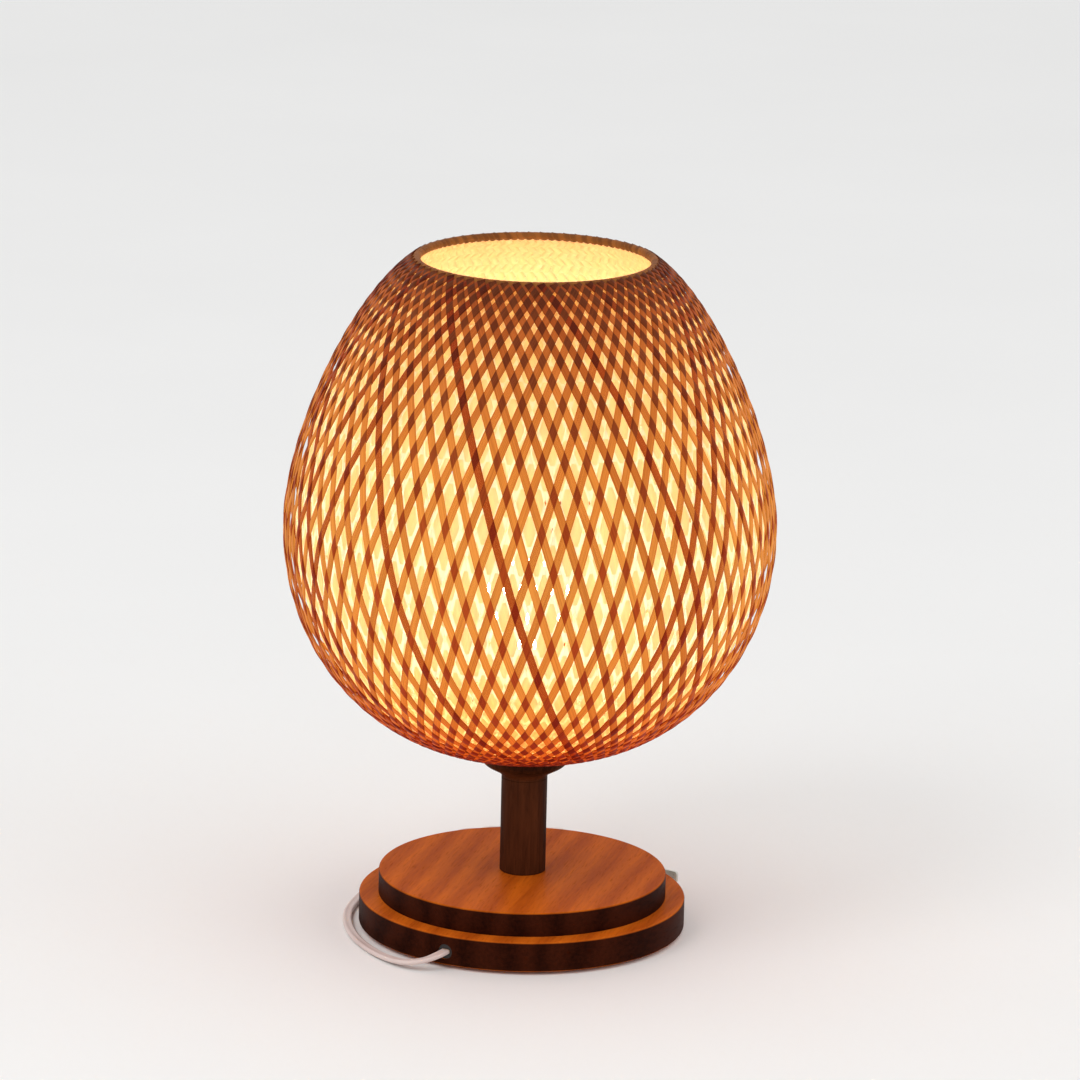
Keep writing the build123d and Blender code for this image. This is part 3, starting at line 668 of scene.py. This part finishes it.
def hank_turns():
    """Points of the flex wound flat and standing on edge: three laps beside each other, three layers."""
    beside = [7.5, 10.1, 12.7]
    laps = beside + beside[::-1] + beside
    straight = 46.0
    middle_x = (hank_low.x + hank_high.x) * 500 + 12.5
    middle_y = (hank_low.y + hank_high.y) * 500 - 1.2
    bottom = hank_low.z * 1000
    layer = (hank_high.z - hank_low.z) * 1000 / 3
    shrink = 0.9665      # the curve runs inside its points by this share where they are 30 degrees apart
    step = 30

    # Each place on a lap: the end of the straight, the angle round it, and how far on to the next lap
    places = [(0.5, -90, 0), (-0.5, -90, 0)]
    places += [(-0.5, -90 - step * k, 0) for k in range(1, 6)]
    places += [(-0.5, 90, 0), (0.5, 90, 0.6)]
    places += [(0.5, 90 - step * k, 0.6 + 0.08 * k) for k in range(1, 6)]

    points = []
    for n, half in enumerate(laps):
        following = min(n + 1, len(laps) - 1)
        level = bottom + layer * (n // 3 + 0.5)
        next_level = bottom + layer * (following // 3 + 0.5)
        for side, angle, moved in places:
            reach = (half + (laps[following] - half) * moved) / (shrink if abs(angle) != 90 else 1)
            points.append((middle_x + side * straight + reach * cos(radians(angle)),
                           middle_y + reach * sin(radians(angle)), level + (next_level - level) * moved))
    return points[:-3]


def twin_section():
    """The outline of a flat twin flex: two round cores side by side with a groove between them."""
    lobe = flex_height / 2
    centre = flex_width / 2 - lobe
    outline = []
    for side in (1, -1):
        for k in range(-5, 6):
            angle = radians(k * 24)
            outline.append((side * (centre + lobe * cos(angle)), side * lobe * sin(angle)))
    curve = bpy.data.curves.new("flex_outline", "CURVE")
    curve.dimensions = "2D"
    spline = curve.splines.new("POLY")
    spline.points.add(len(outline) - 1)
    for point, (x, y) in zip(spline.points, outline):
        point.co = (x, y, 0, 1)
    spline.use_cyclic_u = True
    shape = bpy.data.objects.new("flex_outline", curve)
    return shape


def flex_piece(name, route, tilts, section, finish):
    curve = bpy.data.curves.new(name, "CURVE")
    curve.dimensions = "3D"
    curve.twist_mode = "Z_UP"
    curve.bevel_mode = "OBJECT"
    curve.bevel_object = section
    curve.use_fill_caps = True
    curve.resolution_u = 8
    spline = curve.splines.new("NURBS")
    spline.points.add(len(route) - 1)
    for point, place, tilt in zip(spline.points, route, tilts):
        point.co = (place[0] / 1000, place[1] / 1000, place[2] / 1000, 1)
        point.tilt = tilt
    spline.order_u = 3
    spline.use_endpoint_u = True
    curve.materials.append(finish)
    piece = bpy.data.objects.new(name, curve)
    bpy.context.scene.collection.objects.link(piece)
    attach(piece, "lamp")
    return piece


def flexes():
    finish = flex_pvc("flex_pvc")
    section = twin_section()
    bpy.context.scene.collection.objects.link(section)
    section.hide_render = True
    section.hide_viewport = True
    near = flex_piece("flex_to_switch", route_to_switch, [0] * len(route_to_switch), section, finish)
    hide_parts("cord_to_switch")
    wound = hank_turns()
    far_route = route_to_hank + wound + route_to_plug
    tilts = [0, 0, 0.2, 0.7, 1.3] + [flex_on_edge] * len(wound) + [1.4, 0.7, 0]
    far = flex_piece("flex_to_plug", far_route, tilts, section, finish)
    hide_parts("cord_to_hank", "cord_hank", "cord_to_plug")


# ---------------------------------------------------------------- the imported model's own nodes

def dress(finish, *names):
    for name in names:
        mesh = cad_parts[name].data
        mesh.materials.clear()
        mesh.materials.append(finish)


def dress_nodes():
    # painted light: the discs' tops take the lamp's light from the shade above, and their sides painted
    # shade
    lit_top_light, lit_top_dark = (0.68, 0.155, 0.010, 1), (0.40, 0.072, 0.005, 1)
    shaded_side_light, shaded_side_dark = (0.048, 0.009, 0.003, 1), (0.014, 0.0025, 0.001, 1)
    upper = turned_wood("upper_disc_wood", (0.24, 0.97, 0.0), lit_top_light, lit_top_dark, shaded_side_light, shaded_side_dark)
    lower = turned_wood("lower_disc_wood", (0.30, 0.95, 0.0), lit_top_light, lit_top_dark, shaded_side_light, shaded_side_dark)
    stem = turned_wood("stem_wood", (0, 0, 1), (0.10, 0.026, 0.008, 1), (0.022, 0.006, 0.002, 1),
                       (0.095, 0.026, 0.009, 1), (0.016, 0.004, 0.002, 1))
    dress(upper, "base_upper_disc")
    dress(lower, "base_lower_disc")
    dress(stem, "stem", "collar")
    dress(felt("base_felt"), "base_pad")
    dress(plain_finish("zinc_steel", (0.62, 0.63, 0.64, 1), 0.30, 1.0), "base_screws", "threaded_tube",
          "tube_washer", "tube_nut", "shade_clamp_washer", "switch_screws", "switch_pin")
    dress(plain_finish("plywood_disc", (0.38, 0.24, 0.12, 1), 0.60, mottle=0.25), "shade_disc")
    dress(plain_finish("cream_plastic", (0.80, 0.74, 0.62, 1), 0.34), "holder_cap", "holder_body")
    dress(plain_finish("ceramic", (0.78, 0.76, 0.70, 1), 0.40), "holder_insert")
    dress(plain_finish("brass", (0.78, 0.55, 0.22, 1), 0.26, 1.0), "holder_screw_shell",
          "holder_centre_tongue", "holder_terminals", "switch_contacts")
    dress(plain_finish("nickel", (0.70, 0.68, 0.63, 1), 0.22, 1.0), "bulb_cap", "plug_blades")
    dress(plain_finish("solder", (0.60, 0.59, 0.57, 1), 0.42, 1.0, depth=0.0002), "bulb_contact")
    dress(plain_finish("black_glass", (0.010, 0.010, 0.012, 1), 0.12), "bulb_insulator")
    dress(plain_finish("clear_glass", (0.75, 0.77, 0.76, 1), 0.08), "bulb_mount")
    dress(plain_finish("phosphor", (0.92, 0.60, 0.12, 1), 0.60), "bulb_filaments")
    dress(opal_glass("opal_glass"), "bulb_globe")
    white = plain_finish("white_plastic", paint(232, 226, 218), 0.36, mottle=0.03)
    dress(white, "switch_lower_case", "switch_upper_case", "switch_rocker", "plug_body")
    dress(plain_finish("bush_plastic", (0.020, 0.018, 0.017, 1), 0.45), "cord_bush", "strain_tie")
    dress(plain_finish("tie_nylon", (0.72, 0.71, 0.68, 1), 0.45, mottle=0.05), "hank_tie")
    dress(plain_finish("core_sheath", (0.50, 0.30, 0.18, 1), 0.45), "holder_wires", "inner_flex")


# ---------------------------------------------------------------- floor, light and camera

def stage():
    size = 12.0
    drop = -0.0002
    points = [(x, y, drop) for y in (-size, size) for x in (-size, size)]
    made = Finish("pale_floor")
    cloud = made.noise(made.place(), 3.0, 3.0)
    colour = made.ramp(cloud, (0.3, (0.885, 0.885, 0.88, 1)), (0.7, (0.90, 0.90, 0.895, 1)))
    sockets = {"Base Color": colour, "Roughness": 0.85, "Specular IOR Level": 0.1}
    finish = made.leave(made.principled(sockets))
    mesh = bpy.data.meshes.new("floor")
    mesh.from_pydata(points, [], [(0, 1, 3, 2)])
    mesh.materials.append(finish)
    floor = bpy.data.objects.new("floor", mesh)
    bpy.context.scene.collection.objects.link(floor)


def soft_light(name, place, target, size, power):
    lamp = bpy.data.lights.new(name, "AREA")
    lamp.shape = "DISK"
    lamp.size = size
    lamp.energy = power
    light = bpy.data.objects.new(name, lamp)
    light.location = place
    light.rotation_euler = (Vector(target) - Vector(place)).to_track_quat("-Z", "Y").to_euler()
    bpy.context.scene.collection.objects.link(light)


def studio():
    world = bpy.data.worlds.new("studio")
    world.use_nodes = True
    background = world.node_tree.nodes["Background"]
    background.inputs["Color"].default_value = (1.0, 1.0, 1.0, 1)
    background.inputs["Strength"].default_value = 0.85
    bpy.context.scene.world = world
    soft_light("key", (-1.6, -1.8, 2.6), (0, 0, 0.1), 1.6, 22)
    soft_light("fill", (2.2, -1.2, 1.6), (0, 0, 0.1), 1.8, 8)
    bpy.context.scene.view_settings.view_transform = "Standard"


def camera():
    lens = bpy.data.cameras.new("camera")
    lens.lens = 208.5
    lens.sensor_width = 36.0
    lens.clip_end = 50.0
    viewer = bpy.data.objects.new("camera", lens)
    distance = 3.1624
    elevation = radians(14.64)
    roll = radians(1.3)
    target = Vector((0.0052, 0.0, 0.2037))
    viewer.location = target + distance * Vector((0, -cos(elevation), sin(elevation)))
    look = (target - viewer.location).to_track_quat("-Z", "Y").to_matrix().to_4x4()
    viewer.rotation_euler = (look @ Matrix.Rotation(roll, 4, "Z")).to_euler()
    bpy.context.scene.collection.objects.link(viewer)
    bpy.context.scene.camera = viewer


camera()
studio()
stage()
flexes()
outer_weave()
lining()
rim_binding()
dress_nodes()
seat_ring(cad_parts["collar"].data.materials[0])
